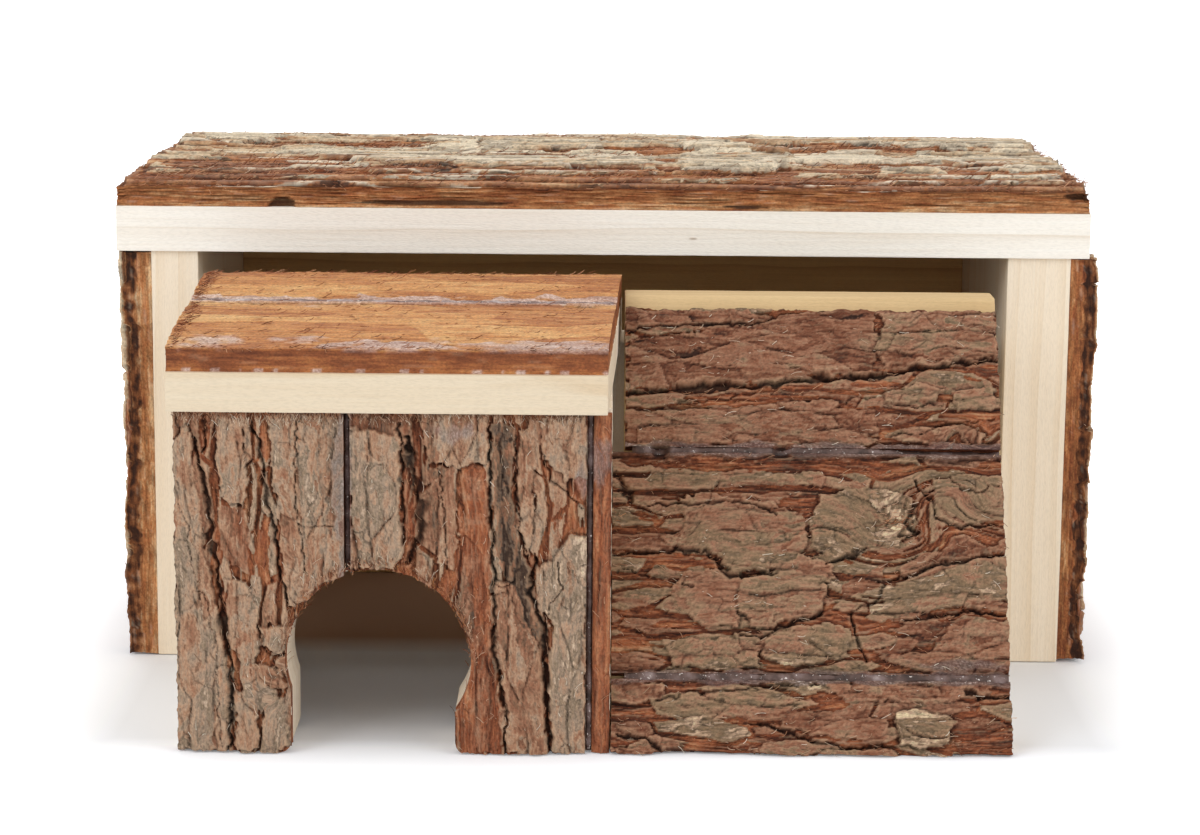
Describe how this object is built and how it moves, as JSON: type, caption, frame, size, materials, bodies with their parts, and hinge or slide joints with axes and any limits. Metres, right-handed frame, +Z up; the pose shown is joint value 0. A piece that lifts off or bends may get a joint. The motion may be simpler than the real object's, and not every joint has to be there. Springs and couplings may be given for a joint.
{
  "type": "wooden hamster house",
  "caption": "Bark-clad wooden hamster house: an open-fronted house from which a porch half slides out, with an arched doorway and a leaning climbing ramp.",
  "frame": {"origin": "on the ground at the middle of the object's footprint, with the porch half pulled out", "axes": "+X to the right seen from the front, +Y to the back, +Z up; the doorway faces -Y"},
  "size_m": [0.3044, 0.2486, 0.156],
  "materials": {
    "pine": "sawn, unfinished",
    "bark": "rough natural bark",
    "inner_bark": "smooth fibrous inner bark",
    "hot_glue": "cured hot-melt glue",
    "brad_steel": "bright wire"
  },
  "bodies": {
    "house": {"back_wall_lower_bark": "bark", "back_wall_lower_board": "pine", "back_wall_upper_bark": "bark", "back_wall_upper_board": "pine", "house_seam_glue": "hot_glue", "left_wall_back_bark": "bark", "left_wall_back_board": "pine", "left_wall_front_bark": "bark", "left_wall_front_board": "pine", "right_wall_back_bark": "bark", "right_wall_back_board": "pine", "right_wall_front_bark": "bark", "right_wall_front_board": "pine", "roof_back_bark": "bark", "roof_back_board": "pine", "roof_brads": "brad_steel", "roof_front_bark": "bark", "roof_front_board": "pine", "wall_brads": "brad_steel"},
    "porch_half": {"porch_brads": "brad_steel", "porch_front_edge_bark": "bark", "porch_front_edge_board": "pine", "porch_front_glue": "hot_glue", "porch_front_left_bark": "bark", "porch_front_left_board": "pine", "porch_front_right_bark": "bark", "porch_front_right_board": "pine", "porch_left_wall": "pine", "porch_middle_wall": "pine", "porch_roof_back_bark": "inner_bark", "porch_roof_back_board": "pine", "porch_roof_front_bark": "inner_bark", "porch_roof_front_board": "pine", "porch_roof_glue": "hot_glue", "ramp_brads": "brad_steel", "ramp_cleat": "pine", "ramp_lower_bark": "bark", "ramp_lower_board": "pine", "ramp_middle_bark": "bark", "ramp_middle_board": "pine", "ramp_right_wall": "pine", "ramp_seam_glue": "hot_glue", "ramp_upper_bark": "bark", "ramp_upper_board": "pine"}
  },
  "joints": [
    {"name": "porch_slide", "type": "slide", "parent": "house", "child": "porch_half", "axis": [0, 1, 0], "range_m": [0, 0.1075]}
  ]
}
